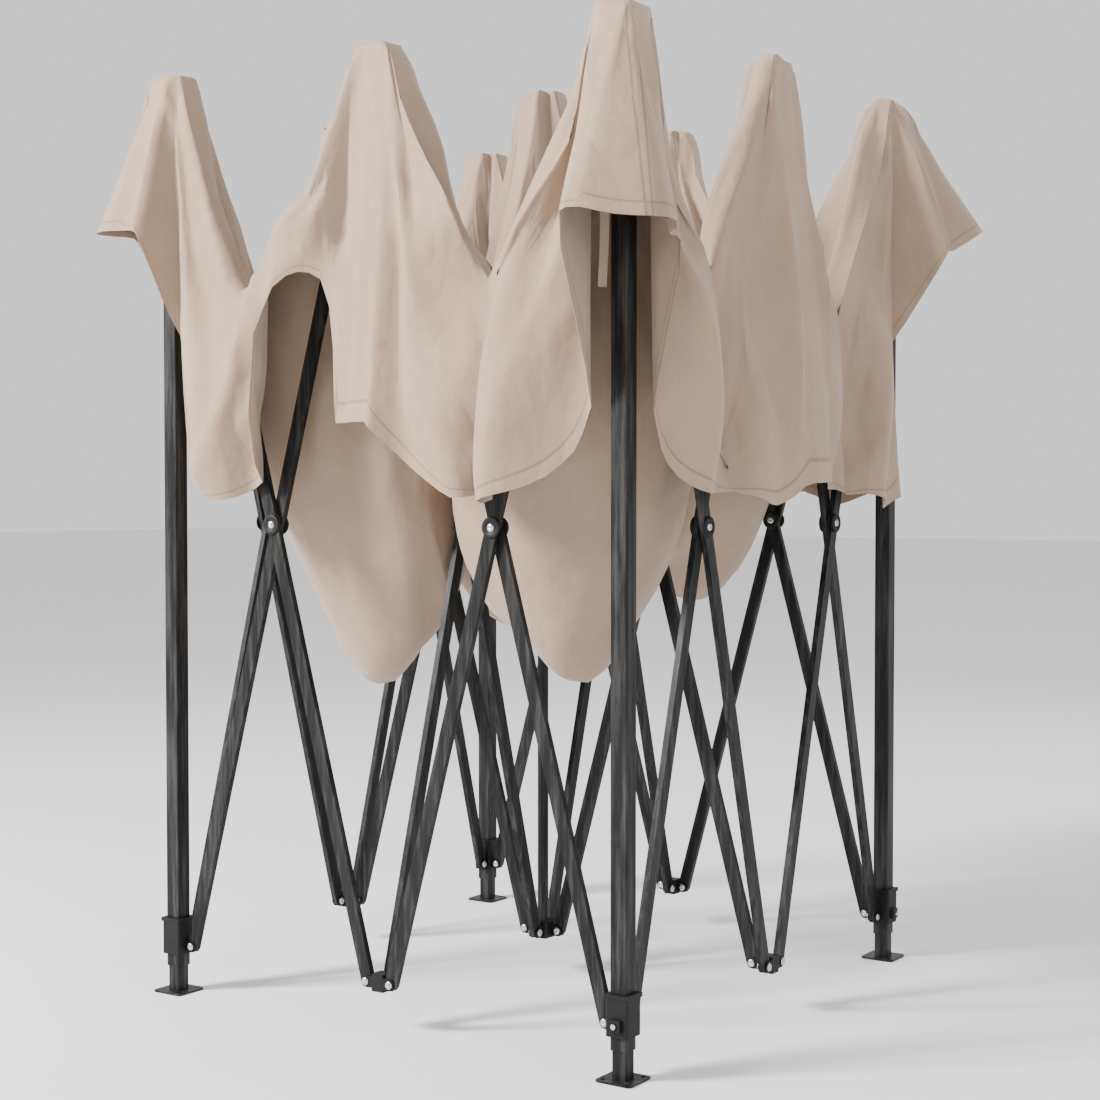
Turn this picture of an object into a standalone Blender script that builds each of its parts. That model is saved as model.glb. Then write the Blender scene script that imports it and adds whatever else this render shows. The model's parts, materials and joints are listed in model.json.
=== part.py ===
"""A 3 x 3 m pop up canopy, standing part folded.

Four telescoping legs carry twelve scissors: two along each side and one from the middle of each side to a
centre hub. Metres, +Z up, +X right, -Y front. The origin is on the ground, below the centre hub.
"""

import math

import bmesh
import bpy
from mathutils import Matrix, Vector

# Driving dimensions of the scissors
BAR_LENGTH = 1.503  # from pin to pin
BAR_LEAN = math.radians(15.3)  # from upright, as it stands here
BAR_DEPTH = 0.022
BAR_THICK = 0.010
BAR_WALL = 0.0012
LAYER = 0.0055  # from a scissor's middle plane to the middle of each of its two bars
POST_PIN = 0.031  # from a leg's or hub's axis to its pins
MID_PIN = 0.024  # from a side connector's axis to its pins
LOW_PIN_Z = 0.080

SPAN = BAR_LENGTH * math.sin(BAR_LEAN)
RISE = BAR_LENGTH * math.cos(BAR_LEAN)
HIGH_PIN_Z = LOW_PIN_Z + RISE
HALF = SPAN + POST_PIN + MID_PIN  # from the centre to a side's middle plane

# Pins and holes
PIN_R = 0.003
HOLE_R = 0.0039
HEAD_R = 0.0055
HEAD_THICK = 0.0025
SINK = 0.0004  # how far a bolt's head sinks into what it holds
ROUND_STEPS = 6  # bolts are hexagonal, and clear the holes' flats
FINE_STEPS = 16
ARC_STEPS = 4  # in a half round

# Brackets
EAR_GAP = 0.011
EAR_THICK = 0.0025
EAR_R = 0.009
POST_BLOCK = 0.019  # half width of a leg's or hub's block
MID_BLOCK = 0.012  # half width of a side connector's block
CORNER_TOP = HIGH_PIN_Z + 0.027
MID_TOP = HIGH_PIN_Z + 0.023
HUB_TOP = HIGH_PIN_Z + 0.010

# Legs
LEG_TUBE = 0.028
LEG_WALL = 0.0015
LEG_BOTTOM = 0.045
INNER_TUBE = 0.024
INNER_TOP = 1.300
FOOT_SIZE = 0.062
FOOT_THICK = 0.003
STAKE_HOLE_R = 0.004
STAKE_HOLE_AT = 0.021
SLIDER_BOTTOM = 0.066
SLIDER_TOP = 0.128
SLIDER_CLEAR = 0.0005
BOSS_REACH = 0.025  # how far the button's boss stands from the leg's axis
BOSS_HALF = 0.009
BUTTON_R = 0.0042
BUTTON_HOLE_R = 0.0048
BUTTON_IN = 0.0185
BUTTON_OUT = 0.0285
BUTTON_Z = 0.084

# Centre pole
POLE_R = 0.0095
POLE_WALL = 0.0012
POLE_BORE_R = 0.0104
POLE_TOP = HIGH_PIN_Z + 0.009
POLE_BOTTOM = LOW_PIN_Z - 0.008
GUIDE_R = 0.0145
GUIDE_LENGTH = 0.090

# Cover
COVER_OUT = 0.128  # how far the valance stands out past the side's middle plane
COVER_THICK = 0.012  # measured straight down
COVER_CREST = CORNER_TOP + 0.002
COVER_CAP_R = 0.064
COVER_SLOPE = 4.08

GAP = 0.0003
BLACK = ("frame_black", (0.012, 0.012, 0.013), 0.42, 0.3)
PLASTIC = ("joint_black", (0.018, 0.018, 0.019), 0.55, 0.0)
STEEL = ("bolt_steel", (0.55, 0.55, 0.56), 0.35, 0.9)
FABRIC = ("cover_fabric", (0.52, 0.42, 0.32), 0.85, 0.0)


def clear_scene():
    for thing in list(bpy.data.objects):
        bpy.data.objects.remove(thing, do_unlink=True)


def material(spec):
    name, colour, roughness, metallic = spec
    found = bpy.data.materials.get(name)
    if found:
        return found
    made = bpy.data.materials.new(name)
    made.use_nodes = True
    shader = made.node_tree.nodes["Principled BSDF"]
    shader.inputs["Base Color"].default_value = (*colour, 1.0)
    shader.inputs["Roughness"].default_value = roughness
    shader.inputs["Metallic"].default_value = metallic
    made.diffuse_color = (*colour, 1.0)
    return made


# Plain shapes, each a new closed mesh


def mesh_from(bm, name):
    bmesh.ops.recalc_face_normals(bm, faces=bm.faces)
    mesh = bpy.data.meshes.new(name)
    bm.to_mesh(mesh)
    bm.free()
    return mesh


def box(low, high):
    bm = bmesh.new()
    low, high = Vector(low), Vector(high)
    size = high - low
    place = Matrix.Translation((low + high) / 2) @ Matrix.Diagonal((*size, 1.0))
    bmesh.ops.create_cube(bm, size=1.0, matrix=place)
    return mesh_from(bm, "box")


def prism(outline, axes, start, end):
    """A flat outline pushed along a third axis. axes are the outline's two directions and the push's."""
    bm = bmesh.new()
    first, second, push = (Vector(a) for a in axes)
    rings = []
    for reach in (start, end):
        rings.append([bm.verts.new(first * a + second * b + push * reach) for a, b in outline])
    bm.faces.new(rings[0])
    bm.faces.new(rings[1])
    count = len(outline)
    for i in range(count):
        j = (i + 1) % count
        bm.faces.new((rings[0][i], rings[0][j], rings[1][j], rings[1][i]))
    return mesh_from(bm, "prism")


def circle(radius, centre=(0.0, 0.0), steps=ROUND_STEPS):
    points = []
    for i in range(steps):
        turn = math.tau * (i + 0.5) / steps
        points.append((centre[0] + radius * math.cos(turn), centre[1] + radius * math.sin(turn)))
    return points


def rod(radius, centre, axis, start, end, steps=ROUND_STEPS):
    """A round rod along X, Y or Z. centre is the place in the other two directions, in X, Y, Z order."""
    x, y, z = Vector((1, 0, 0)), Vector((0, 1, 0)), Vector((0, 0, 1))
    axes = {"X": (y, z, x), "Y": (x, z, y), "Z": (x, y, z)}[axis]
    return prism(circle(radius, centre, steps), axes, start, end)


def square_tube(outer, wall, bottom, top):
    half = outer / 2
    inner = half - wall
    block = box((-half, -half, bottom), (half, half, top))
    hollow = box((-inner, -inner, bottom - 0.01), (inner, inner, top + 0.01))
    return joined([block], [hollow], bevel=0.002, bevel_first=True)


def upright_edges(mesh):
    return [e for e in mesh.edges if (e.verts[0].co - e.verts[1].co).normalized().z ** 2 > 0.99]


def joined(adds, cuts=(), bevel=0.0, bevel_first=False):
    """One closed mesh: the shapes in adds together, less the shapes in cuts."""
    objects = [bpy.data.objects.new("shape", mesh) for mesh in (*adds, *cuts)]
    for thing in objects:
        bpy.context.scene.collection.objects.link(thing)
    base = objects[0]
    if bevel and bevel_first:
        bm = bmesh.new()
        bm.from_mesh(base.data)
        edges = upright_edges(bm)
        bmesh.ops.bevel(bm, geom=edges, offset=bevel, segments=2, affect="EDGES", profile=0.5)
        bm.to_mesh(base.data)
        bm.free()
    for index, other in enumerate(objects[1:], 1):
        modifier = base.modifiers.new("join", "BOOLEAN")
        modifier.operation = "UNION" if index < len(adds) else "DIFFERENCE"
        modifier.solver = "EXACT"
        modifier.object = other
    evaluated = base.evaluated_get(bpy.context.evaluated_depsgraph_get())
    result = bpy.data.meshes.new_from_object(evaluated)
    for thing in objects:
        bpy.data.objects.remove(thing, do_unlink=True)
    return result


def place(name, mesh, spec, matrix=None, smooth=True):
    thing = bpy.data.objects.new(name, mesh)
    bpy.context.scene.collection.objects.link(thing)
    thing.matrix_world = matrix or Matrix.Identity(4)
    if not mesh.materials:
        mesh.materials.append(material(spec))
    if smooth:
        mesh.shade_smooth()
        mesh.set_sharp_from_angle(angle=math.radians(35))
    return thing


def bolt(axes, centre, start, end):
    """A pin between two wider heads. axes are its two cross directions and its own; start and end are the heads'
    inner faces."""
    bm = bmesh.new()
    first, second, push = (Vector(a) for a in axes)
    profile = [(HEAD_R, start - HEAD_THICK), (HEAD_R, start), (PIN_R, start)]
    profile += [(PIN_R, end), (HEAD_R, end), (HEAD_R, end + HEAD_THICK)]
    rings = []
    for radius, reach in profile:
        points = circle(radius, centre)
        rings.append([bm.verts.new(first * a + second * b + push * reach) for a, b in points])
    bm.faces.new(rings[0])
    bm.faces.new(rings[-1])
    for near, far in zip(rings, rings[1:]):
        for i in range(ROUND_STEPS):
            j = (i + 1) % ROUND_STEPS
            bm.faces.new((near[i], near[j], far[j], far[i]))
    return mesh_from(bm, "bolt")


# The scissor bars


def bar_outline():
    """The bar's side: straight edges and a half round at each pin."""
    points = []
    for end in (1, -1):
        for i in range(ARC_STEPS + 1):
            turn = math.pi * i / ARC_STEPS
            across = end * BAR_DEPTH / 2 * math.cos(turn)
            along = end * (BAR_LENGTH / 2 + BAR_DEPTH / 2 * math.sin(turn))
            points.append((across, along))
    return points


def bar_mesh(with_rivet):
    """A flat tube standing along Z, thin along Y, with its middle at the origin."""
    x, y, z = (1, 0, 0), (0, 1, 0), (0, 0, 1)
    half = BAR_THICK / 2
    body = prism(bar_outline(), (x, z, y), -half, half)
    in_x, in_y = BAR_DEPTH / 2 - BAR_WALL, half - BAR_WALL
    reach = BAR_LENGTH / 2 + BAR_DEPTH
    hollow = box((-in_x, -in_y, -reach), (in_x, in_y, reach))
    cuts = [hollow]
    for end in (1, -1):
        cuts.append(rod(HOLE_R, (0.0, end * BAR_LENGTH / 2), "Y", -BAR_THICK, BAR_THICK))
    if not with_rivet:
        cuts.append(rod(HOLE_R, (0.0, 0.0), "Y", -BAR_THICK, BAR_THICK))
        return joined([body], cuts)
    tube = joined([body], cuts)
    far = -(2 * LAYER + half + GAP)
    return joined([tube, bolt((z, x, y), (0.0, 0.0), far, half - SINK)])


def scissors():
    """Every scissor as (name, start post, end post, sideways direction of its falling bar)."""
    found = []
    for turn, side in enumerate(("front", "right", "back", "left")):
        spin = Matrix.Rotation(math.pi / 2 * turn, 3, "Z")
        ends = {"front": ("left", "right"), "right": ("front", "back")}
        ends["back"] = ("right", "left")
        ends["left"] = ("back", "front")
        middle = spin @ Vector((0, -HALF, 0))
        outward = spin @ Vector((0, -1, 0))
        for sign, end in zip((-1, 1), ends[side]):
            corner = spin @ Vector((sign * HALF, -HALF, 0))
            found.append((f"{side}_{end}", corner, middle, outward, POST_PIN, MID_PIN))
        sideways = spin @ Vector((1, 0, 0))
        found.append((f"{side}_inner", middle, Vector((0, 0, 0)), sideways, MID_PIN, POST_PIN))
    return found


def make_bars():
    falling, rising = bar_mesh(True), bar_mesh(False)
    for name, start, end, side, start_pin, end_pin in scissors():
        along = (end - start).normalized()
        first = start + along * start_pin
        last = end - along * end_pin
        middle = (first + last) / 2 + Vector((0, 0, (LOW_PIN_Z + HIGH_PIN_Z) / 2))
        for kind, mesh, lean in (("falling", falling, -1), ("rising", rising, 1)):
            upward = Vector((0, 0, math.cos(BAR_LEAN))) + along * (lean * math.sin(BAR_LEAN))
            across = side.cross(upward)
            turn = Matrix((across, side, upward)).transposed().to_4x4()
            centre = middle - side * (LAYER * lean)
            place(f"{name}_{kind}_bar", mesh, BLACK, Matrix.Translation(centre) @ turn)


# Brackets


def clevis(direction, layer, block, pin, height):
    """The two ears, pin and bolt heads that hold one bar end. direction is 'x' or 'y' with its sign."""
    sign = -1 if direction[0] == "-" else 1
    along = Vector((sign, 0, 0)) if direction[1] == "x" else Vector((0, sign, 0))
    across = Vector((0, 1, 0)) if direction[1] == "x" else Vector((1, 0, 0))
    up = Vector((0, 0, 1))
    inside = block - 0.001
    outline = [(inside, height - EAR_R), (inside, height + EAR_R)]
    for i in range(ARC_STEPS + 1):
        turn = math.pi / 2 - math.pi * i / ARC_STEPS
        outline.append((pin + EAR_R * math.cos(turn), height + EAR_R * math.sin(turn)))
    outline = list(reversed(outline))
    near, far = layer - EAR_GAP / 2, layer + EAR_GAP / 2
    parts = [
        prism(outline, (along, up, across), near - EAR_THICK, near),
        prism(outline, (along, up, across), far, far + EAR_THICK),
    ]
    low, high = near - EAR_THICK, far + EAR_THICK
    parts.append(bolt((along, up, across), (pin, height), low + SINK, high - SINK))
    return parts


def corner_bracket_mesh():
    """The cap on the leg at (-, -), with bars going to +X and +Y in the outer layer."""
    half = POST_BLOCK
    block = box((-half, -half, HIGH_PIN_Z - 0.028), (half, half, CORNER_TOP))
    socket = LEG_TUBE / 2 + GAP
    hollow = box((-socket, -socket, HIGH_PIN_Z - 0.04), (socket, socket, CORNER_TOP - 0.006))
    adds = [block]
    adds += clevis("+x", -LAYER, half, POST_PIN, HIGH_PIN_Z)
    adds += clevis("+y", -LAYER, half, POST_PIN, HIGH_PIN_Z)
    return joined(adds, [hollow], bevel=0.003, bevel_first=True)


def slider_mesh():
    """The sleeve on the leg at (-, -), with bars going to +X and +Y in the inner layer."""
    half = POST_BLOCK
    block = box((-half, -half, SLIDER_BOTTOM), (half, half, SLIDER_TOP))
    rim = half + 0.0015
    collar = box((-rim, -rim, SLIDER_TOP - 0.006), (rim, rim, SLIDER_TOP + 0.0005))
    boss_low = (-BOSS_REACH, -BOSS_HALF, BUTTON_Z - BOSS_HALF)
    boss = box(boss_low, (-half + 0.003, BOSS_HALF, BUTTON_Z + BOSS_HALF))
    bore = LEG_TUBE / 2 + SLIDER_CLEAR
    hollow = box((-bore, -bore, SLIDER_BOTTOM - 0.01), (bore, bore, SLIDER_TOP + 0.01))
    hole = rod(BUTTON_HOLE_R, (0.0, BUTTON_Z), "X", -BOSS_REACH - 0.01, -bore + 0.002, 12)
    adds = [block, collar, boss]
    adds += clevis("+x", LAYER, half, POST_PIN, LOW_PIN_Z)
    adds += clevis("+y", LAYER, half, POST_PIN, LOW_PIN_Z)
    return joined(adds, [hollow, hole], bevel=0.003, bevel_first=True)


def side_connector_mesh(low, high, pin_z, side_layer, inner_layer):
    """The connector in the middle of the front side: bars to -X and +X, and one inwards to +Y."""
    half = MID_BLOCK
    block = box((-half, -half - 0.002, low), (half, half, high))
    adds = [block]
    adds += clevis("+x", side_layer, half, MID_PIN, pin_z)
    adds += clevis("-x", side_layer, half, MID_PIN, pin_z)
    adds += clevis("+y", inner_layer, half, MID_PIN, pin_z)
    return joined(adds, bevel=0.002, bevel_first=True)


def hub_mesh(low, high, pin_z, layer, bore_r, guide_length):
    """A centre hub with four bars, and a bore for the pole."""
    half = POST_BLOCK
    adds = [box((-half, -half, low), (half, half, high))]
    layers = {"-y": layer, "+x": layer, "+y": -layer, "-x": -layer}
    for direction, offset in layers.items():
        adds += clevis(direction, offset, half, POST_PIN, pin_z)
    if guide_length:
        adds.append(rod(GUIDE_R, (0.0, 0.0), "Z", low - guide_length, low + 0.003, FINE_STEPS))
    bore = rod(bore_r, (0.0, 0.0), "Z", low - guide_length - 0.01, high + 0.01, FINE_STEPS)
    return joined(adds, [bore], bevel=0.003, bevel_first=True)


def pole_mesh():
    rod_outer = rod(POLE_R, (0.0, 0.0), "Z", POLE_BOTTOM, POLE_TOP, FINE_STEPS)
    inner_r = POLE_R - POLE_WALL
    hollow = rod(inner_r, (0.0, 0.0), "Z", POLE_BOTTOM - 0.01, POLE_TOP - 0.003, FINE_STEPS)
    return joined([rod_outer], [hollow])


# Legs


def foot_mesh():
    half = FOOT_SIZE / 2
    plate = box((-half, -half, 0.0), (half, half, FOOT_THICK))
    holes = []
    for sign in (-1, 1):
        centre = (sign * STAKE_HOLE_AT, sign * -STAKE_HOLE_AT)
        holes.append(rod(STAKE_HOLE_R, centre, "Z", -0.01, FOOT_THICK + 0.01, FINE_STEPS // 2))
    return joined([plate], holes, bevel=0.006, bevel_first=True)


def make_posts():
    corner, slider = corner_bracket_mesh(), slider_mesh()
    outer = square_tube(LEG_TUBE, LEG_WALL, LEG_BOTTOM, CORNER_TOP - 0.0065)
    inner = square_tube(INNER_TUBE, LEG_WALL, FOOT_THICK + GAP, INNER_TOP)
    foot = foot_mesh()
    button = rod(BUTTON_R, (0.0, BUTTON_Z), "X", -BUTTON_OUT, -BUTTON_IN, 12)
    for turn, corner_name in enumerate(("front_left", "front_right", "back_right", "back_left")):
        spin = Matrix.Rotation(math.pi / 2 * turn, 4, "Z")
        here = spin @ Matrix.Translation((-HALF, -HALF, 0))
        place(f"outer_leg_{corner_name}", outer, BLACK, here)
        place(f"inner_leg_{corner_name}", inner, BLACK, here)
        place(f"foot_plate_{corner_name}", foot, BLACK, here)
        place(f"corner_bracket_{corner_name}", corner, PLASTIC, here)
        place(f"slider_{corner_name}", slider, PLASTIC, here)
        place(f"slider_button_{corner_name}", button, STEEL, here)


def make_connectors():
    high_low, high_top = HIGH_PIN_Z - 0.014, MID_TOP
    top = side_connector_mesh(high_low, high_top, HIGH_PIN_Z, LAYER, LAYER)
    bottom = side_connector_mesh(LOW_PIN_Z - 0.014, LOW_PIN_Z + 0.014, LOW_PIN_Z, -LAYER, -LAYER)
    for turn, side in enumerate(("front", "right", "back", "left")):
        here = Matrix.Rotation(math.pi / 2 * turn, 4, "Z") @ Matrix.Translation((0, -HALF, 0))
        place(f"top_connector_{side}", top, PLASTIC, here)
        place(f"bottom_connector_{side}", bottom, PLASTIC, here)
    hub_low = HIGH_PIN_Z - 0.013
    guide = GUIDE_LENGTH - (HUB_TOP - hub_low)
    upper_hub = hub_mesh(hub_low, HUB_TOP, HIGH_PIN_Z, -LAYER, POLE_BORE_R, guide)
    lower_hub = hub_mesh(LOW_PIN_Z - 0.013, LOW_PIN_Z + 0.016, LOW_PIN_Z, LAYER, POLE_R + GAP, 0.0)
    place("upper_hub", upper_hub, PLASTIC)
    place("lower_hub", lower_hub, PLASTIC)
    place("centre_pole", pole_mesh(), BLACK)


# Cover


def cover_lines():
    """Where the cover's grid lines are, closer together over each peak."""
    lines = set()
    for peak in (-HALF, 0.0, HALF):
        for step in (-0.045, 0.0, 0.045):
            lines.add(round(peak + step, 6))
    for sign in (-1, 1):
        lines.add(round(sign * HALF / 2, 6))
        lines.add(round(sign * (HALF / 2 - 0.065), 6))
        lines.add(round(sign * (HALF / 2 + 0.065), 6))
        lines.add(round(sign * (HALF + COVER_OUT), 6))
    return sorted(lines)


def cover_height(x, y):
    """The cover hangs from nine peaks, and falls away evenly round each of them."""
    away = []
    for peak_x in (-HALF, 0.0, HALF):
        for peak_y in (-HALF, 0.0, HALF):
            away.append(math.hypot(x - peak_x, y - peak_y))
    return COVER_CREST - COVER_SLOPE * max(0.0, min(away) - COVER_CAP_R)


def make_cover():
    lines = cover_lines()
    count = len(lines)
    bm = bmesh.new()
    layers = []
    for lift in (0.0, COVER_THICK):
        rows = []
        for y in lines:
            rows.append([bm.verts.new((x, y, cover_height(x, y) + lift)) for x in lines])
        layers.append(rows)
    for rows in layers:
        for j in range(count - 1):
            for i in range(count - 1):
                bm.faces.new((rows[j][i], rows[j][i + 1], rows[j + 1][i + 1], rows[j + 1][i]))
    border = [(i, 0) for i in range(count - 1)]
    border += [(count - 1, j) for j in range(count - 1)]
    border += [(i, count - 1) for i in range(count - 1, 0, -1)]
    border += [(0, j) for j in range(count - 1, 0, -1)]
    for here, (i, j) in enumerate(border):
        k, m = border[(here + 1) % len(border)]
        bm.faces.new((layers[0][j][i], layers[0][m][k], layers[1][m][k], layers[1][j][i]))
    bmesh.ops.triangulate(bm, faces=bm.faces)
    place("canopy_cover", mesh_from(bm, "cover"), FABRIC, smooth=False)


def build():
    clear_scene()
    make_posts()
    make_connectors()
    make_bars()
    make_cover()


build()
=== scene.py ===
"""Visual model of a part-folded pop up canopy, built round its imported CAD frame."""
import json
import math

import bpy
import numpy as np
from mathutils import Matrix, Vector, noise

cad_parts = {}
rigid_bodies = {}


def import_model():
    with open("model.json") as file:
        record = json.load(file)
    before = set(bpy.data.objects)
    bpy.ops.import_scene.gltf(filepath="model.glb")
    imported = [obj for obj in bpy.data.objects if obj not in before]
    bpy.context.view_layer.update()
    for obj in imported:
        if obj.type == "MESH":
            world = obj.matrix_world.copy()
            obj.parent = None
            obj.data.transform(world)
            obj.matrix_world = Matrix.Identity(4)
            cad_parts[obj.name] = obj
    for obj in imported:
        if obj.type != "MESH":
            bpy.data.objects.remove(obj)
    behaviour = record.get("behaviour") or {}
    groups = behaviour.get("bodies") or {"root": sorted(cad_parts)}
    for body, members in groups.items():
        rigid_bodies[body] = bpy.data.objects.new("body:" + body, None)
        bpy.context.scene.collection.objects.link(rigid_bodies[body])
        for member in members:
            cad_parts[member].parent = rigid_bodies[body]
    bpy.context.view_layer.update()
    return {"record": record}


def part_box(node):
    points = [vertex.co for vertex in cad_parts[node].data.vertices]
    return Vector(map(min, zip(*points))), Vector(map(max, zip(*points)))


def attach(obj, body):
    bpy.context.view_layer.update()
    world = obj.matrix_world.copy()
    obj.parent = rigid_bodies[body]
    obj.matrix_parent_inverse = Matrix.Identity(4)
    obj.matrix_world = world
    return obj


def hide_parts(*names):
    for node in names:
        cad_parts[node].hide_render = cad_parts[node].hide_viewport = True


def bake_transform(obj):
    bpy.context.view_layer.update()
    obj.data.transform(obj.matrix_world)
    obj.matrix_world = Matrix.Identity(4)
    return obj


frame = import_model()

# ---------------------------------------------------------------- driving dimensions, metres
leg_low, leg_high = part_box("outer_leg_front_right")
HALF = (leg_low.x + leg_high.x) / 2  # from the middle to an outer post's centre
LEG_HALF = (leg_high.x - leg_low.x) / 2
CORNER_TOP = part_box("corner_bracket_front_right")[1].z
PIN_BELOW_TOP = 0.027
HIGH_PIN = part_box("corner_bracket_front_right")[1].z - PIN_BELOW_TOP
LOW_PIN = 0.080
CROSSING = (HIGH_PIN + LOW_PIN) / 2
POLE_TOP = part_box("centre_pole")[1].z
POST_PIN = 0.031  # from a leg's or the hubs' centre to a pin
MID_PIN = 0.024  # from a side connector's centre to a pin
LAYER = 0.0055  # each bar's middle, off the truss's own plane
BAR_FACE = 0.0105
EAR_FACE = 0.0080
LEAN = math.radians(15.3)  # of the bars, from upright
BAR_HALF = 0.011

CLOTH_GAP = 0.0035
EDGE = 0.0235  # from an outer post's centre to the roof's edge
CLOTH_THICK = 0.0014
OUTER = HALF + EDGE
CREST = CORNER_TOP + CLOTH_GAP
CELL_STEPS = 28
STRIP_ROWS = 30
FAN_STEPS = 8

SIDES = ("front", "right", "back", "left")
ENDS = {
    "front": ("left", "right"), "right": ("front", "back"),
    "back": ("right", "left"), "left": ("back", "front"),
}
CORNERS = ("front_left", "front_right", "back_right", "back_left")


def spun(x, y, turns):
    """A plan point turned by quarter turns, front to right to back to left."""
    for _ in range(turns % 4):
        x, y = -y, x
    return x, y


def plan_trusses():
    """Every truss: its start post, end post, side normal and pin distances, in plan."""
    made = {}
    for turn, side in enumerate(SIDES):
        middle = spun(0.0, -HALF, turn)
        out = spun(0.0, -1.0, turn)
        for sign, end in zip((-1, 1), ENDS[side]):
            post = spun(sign * HALF, -HALF, turn)
            made[f"{side}_{end}"] = (post, middle, out, POST_PIN, MID_PIN)
        made[f"{side}_inner"] = (middle, (0.0, 0.0), spun(1.0, 0.0, turn), MID_PIN, POST_PIN)
    return made


TRUSSES = plan_trusses()


def corner_of(side, end):
    """The name of the corner at one end of a side."""
    for name in CORNERS:
        if side in name.split("_") and end in name.split("_"):
            return name
    raise ValueError(side)


# ---------------------------------------------------------------- materials
def new_material(name):
    material = bpy.data.materials.new(name)
    material.use_nodes = True
    tree = material.node_tree
    return material, tree, tree.nodes["Principled BSDF"]


def add_node(tree, kind, **values):
    made = tree.nodes.new(kind)
    for key, value in values.items():
        if hasattr(made, key):
            setattr(made, key, value)
        else:
            made.inputs[key.replace("_", " ")].default_value = value
    return made


def object_coordinates(tree, scale):
    coordinates = add_node(tree, "ShaderNodeTexCoord")
    mapping = add_node(tree, "ShaderNodeMapping")
    mapping.inputs["Scale"].default_value = scale
    tree.links.new(coordinates.outputs["Object"], mapping.inputs["Vector"])
    return mapping.outputs["Vector"]


def noise_node(tree, scale, detail=3.0, rough=0.5, stretch=(1, 1, 1)):
    made = add_node(tree, "ShaderNodeTexNoise", Scale=scale, Detail=detail, Roughness=rough)
    tree.links.new(object_coordinates(tree, stretch), made.inputs["Vector"])
    return made.outputs["Fac"]


def grey(level):
    return (level, level, level)


def ramp(tree, factor, stops):
    made = add_node(tree, "ShaderNodeValToRGB")
    elements = made.color_ramp.elements
    while len(elements) < len(stops):
        elements.new(0.5)
    for element, (place, colour) in zip(elements, stops):
        element.position = place
        element.color = (*colour, 1.0)
    tree.links.new(factor, made.inputs["Fac"])
    return made.outputs["Color"]


def math_node(tree, operation, a, b):
    made = add_node(tree, "ShaderNodeMath", operation=operation)
    for socket, value in zip(made.inputs, (a, b)):
        if isinstance(value, (int, float)):
            socket.default_value = value
        else:
            tree.links.new(value, socket)
    return made.outputs["Value"]


def mixed(tree, factor, a, b, blend="MIX"):
    made = add_node(tree, "ShaderNodeMix", data_type="RGBA", blend_type=blend)
    for key, value in (("Factor", factor), ("A", a), ("B", b)):
        socket = [s for s in made.inputs if s.name == key and s.enabled][0]
        if isinstance(value, (int, float)):
            socket.default_value = value
        elif isinstance(value, tuple):
            socket.default_value = (*value, 1.0)
        else:
            tree.links.new(value, socket)
    return [s for s in made.outputs if s.enabled][0]


def bumped(tree, shader, heights):
    """Chains bump nodes, each a (height socket, distance, strength)."""
    normal = None
    for height, distance, strength in heights:
        bump = add_node(tree, "ShaderNodeBump", Distance=distance, Strength=strength)
        tree.links.new(height, bump.inputs["Height"])
        if normal is not None:
            tree.links.new(normal, bump.inputs["Normal"])
        normal = bump.outputs["Normal"]
    tree.links.new(normal, shader.inputs["Normal"])


def wave_node(tree, direction, scale, distortion=0.4):
    made = add_node(
        tree, "ShaderNodeTexWave", wave_type="BANDS", bands_direction=direction, Scale=scale,
        Distortion=distortion, Detail=1.0,
    )
    tree.links.new(object_coordinates(tree, (1, 1, 1)), made.inputs["Vector"])
    return made.outputs["Fac"]


def crease_lines(tree, scale, stretch):
    """Height with sharp ridges, as in cloth that has been folded away and opened again."""
    level = noise_node(tree, scale, 3.0, 0.45, stretch)
    return math_node(tree, "ABSOLUTE", math_node(tree, "SUBTRACT", level, 0.5), 0.0)


def band(tree, value, centre, half_width):
    """1 within half_width of centre, 0 outside."""
    off = math_node(tree, "ABSOLUTE", math_node(tree, "SUBTRACT", value, centre), 0.0)
    return math_node(tree, "LESS_THAN", off, half_width)


HEM_THREAD = 0.019  # from the hem's edge to its thread
SEAM_THREAD = 0.007
THREAD_HALF = 0.0014
HEM_FOLD = 0.024
SEAM_HALF = 0.0026


def sewn_thread(tree):
    """1 on the thread lines along the hem and beside the seams."""
    hem = add_node(tree, "ShaderNodeAttribute", attribute_name="hem_distance").outputs["Fac"]
    seam = add_node(tree, "ShaderNodeAttribute", attribute_name="seam_distance").outputs["Fac"]
    hem_thread = band(tree, hem, HEM_THREAD, THREAD_HALF)
    seam_thread = band(tree, seam, SEAM_THREAD, THREAD_HALF)
    return math_node(tree, "MAXIMUM", hem_thread, seam_thread)


def stitch_lines(tree):
    """Heights for the sewn hem's fold and thread, and for the thread beside the seams."""
    hem = add_node(tree, "ShaderNodeAttribute", attribute_name="hem_distance").outputs["Fac"]
    seam = add_node(tree, "ShaderNodeAttribute", attribute_name="seam_distance").outputs["Fac"]
    turned_up = math_node(tree, "LESS_THAN", hem, HEM_FOLD)
    thread = sewn_thread(tree)
    ridge = math_node(tree, "LESS_THAN", seam, SEAM_HALF)
    sunk = math_node(tree, "SUBTRACT", 1.0, thread)
    return (turned_up, 0.0016, 0.8), (sunk, 0.0012, 0.9), (ridge, 0.0016, 0.8)


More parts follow.
